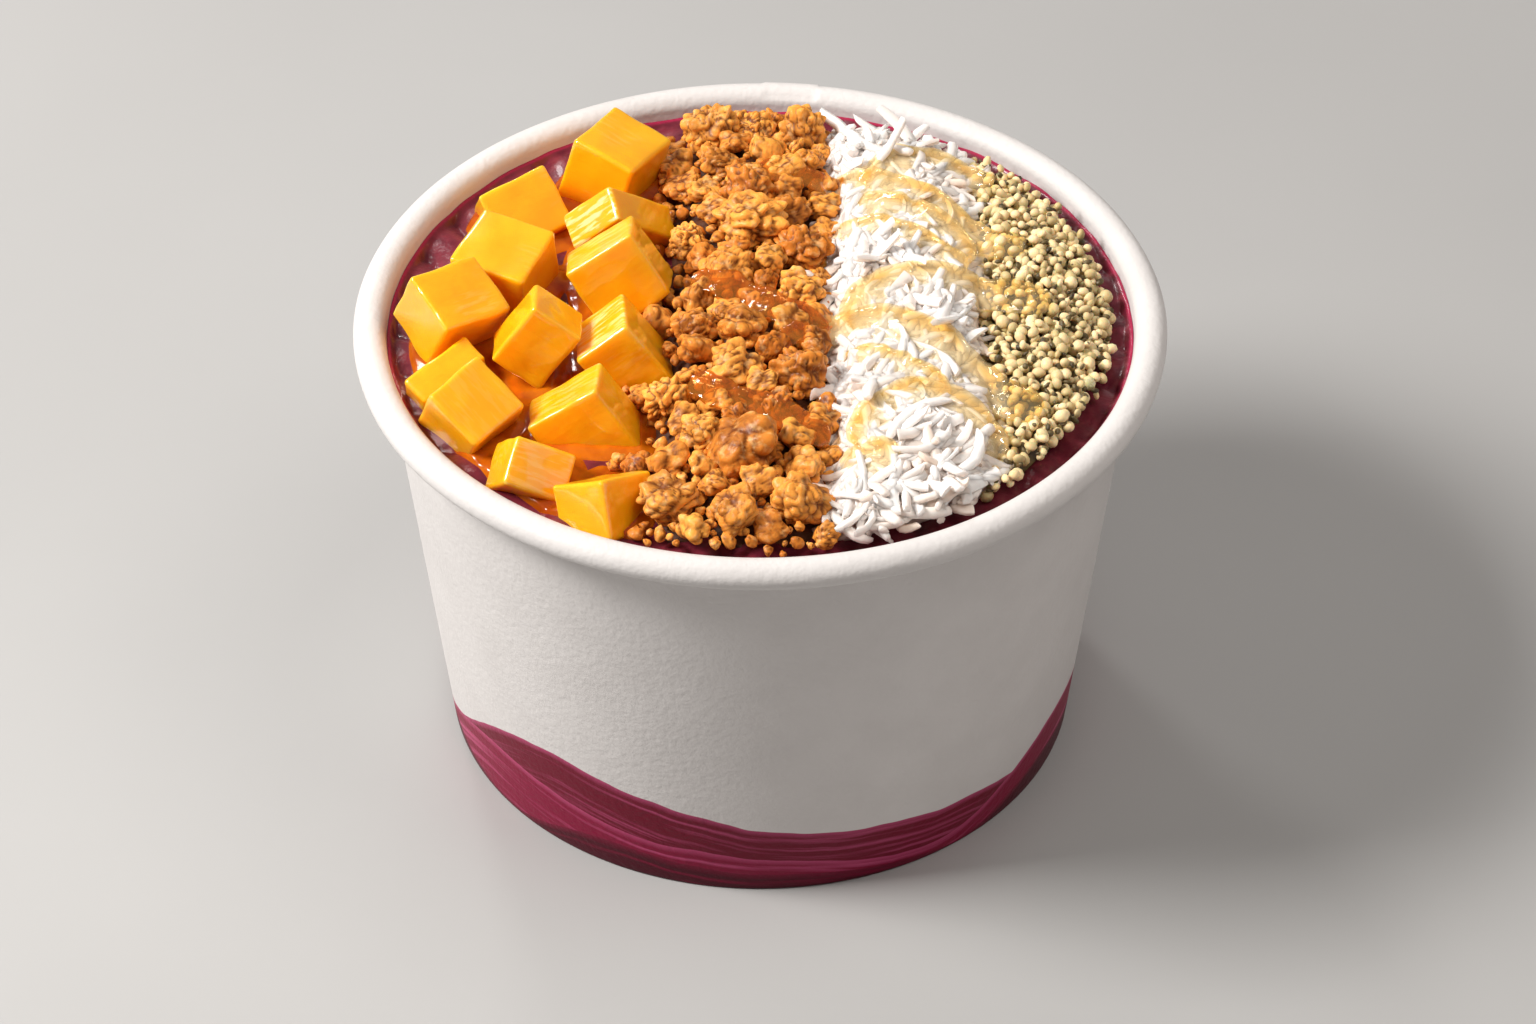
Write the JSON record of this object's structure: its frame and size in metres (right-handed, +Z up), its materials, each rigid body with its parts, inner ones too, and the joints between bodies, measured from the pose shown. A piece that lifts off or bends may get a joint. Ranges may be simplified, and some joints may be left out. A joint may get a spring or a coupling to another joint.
{
  "type": "acai bowl",
  "caption": "Round paper tub filled with acai puree and topped in bands with mango cubes, granola, shredded coconut under honey, and hemp seeds.",
  "frame": {"origin": "middle of the foot ring, on the surface that the tub stands on", "axes": "+Z up, -Y to the front, +X to the right of someone who faces the front"},
  "size_m": [0.115, 0.115, 0.0787],
  "materials": {
    "tub_paper": "white coated board with a fine fibre texture, plum waves printed round the foot",
    "base_paper": "white coated board",
    "acai_puree": "thick dark plum puree, glossy and rippled",
    "mango": "ripe cut mango, moist, with fine pale fibres",
    "granola": "golden brown toasted clusters, partly glazed",
    "coconut": "white shreds under pale amber honey strands",
    "hemp_seeds": "small hulled seeds, cream to pale green, with dark bits between"
  },
  "bodies": {
    "root": {"cup_wall": "tub_paper", "cup_base": "base_paper", "acai_puree": "acai_puree", "granola": "granola", "coconut": "coconut", "hemp_seeds": "hemp_seeds", "mango_cube_01": "mango", "mango_cube_02": "mango", "mango_cube_03": "mango", "mango_cube_04": "mango", "mango_cube_05": "mango", "mango_cube_06": "mango", "mango_cube_07": "mango", "mango_cube_08": "mango", "mango_cube_09": "mango", "mango_cube_10": "mango", "mango_cube_11": "mango", "mango_cube_12": "mango", "mango_cube_13": "mango", "mango_cube_14": "mango"}
  },
  "joints": []
}
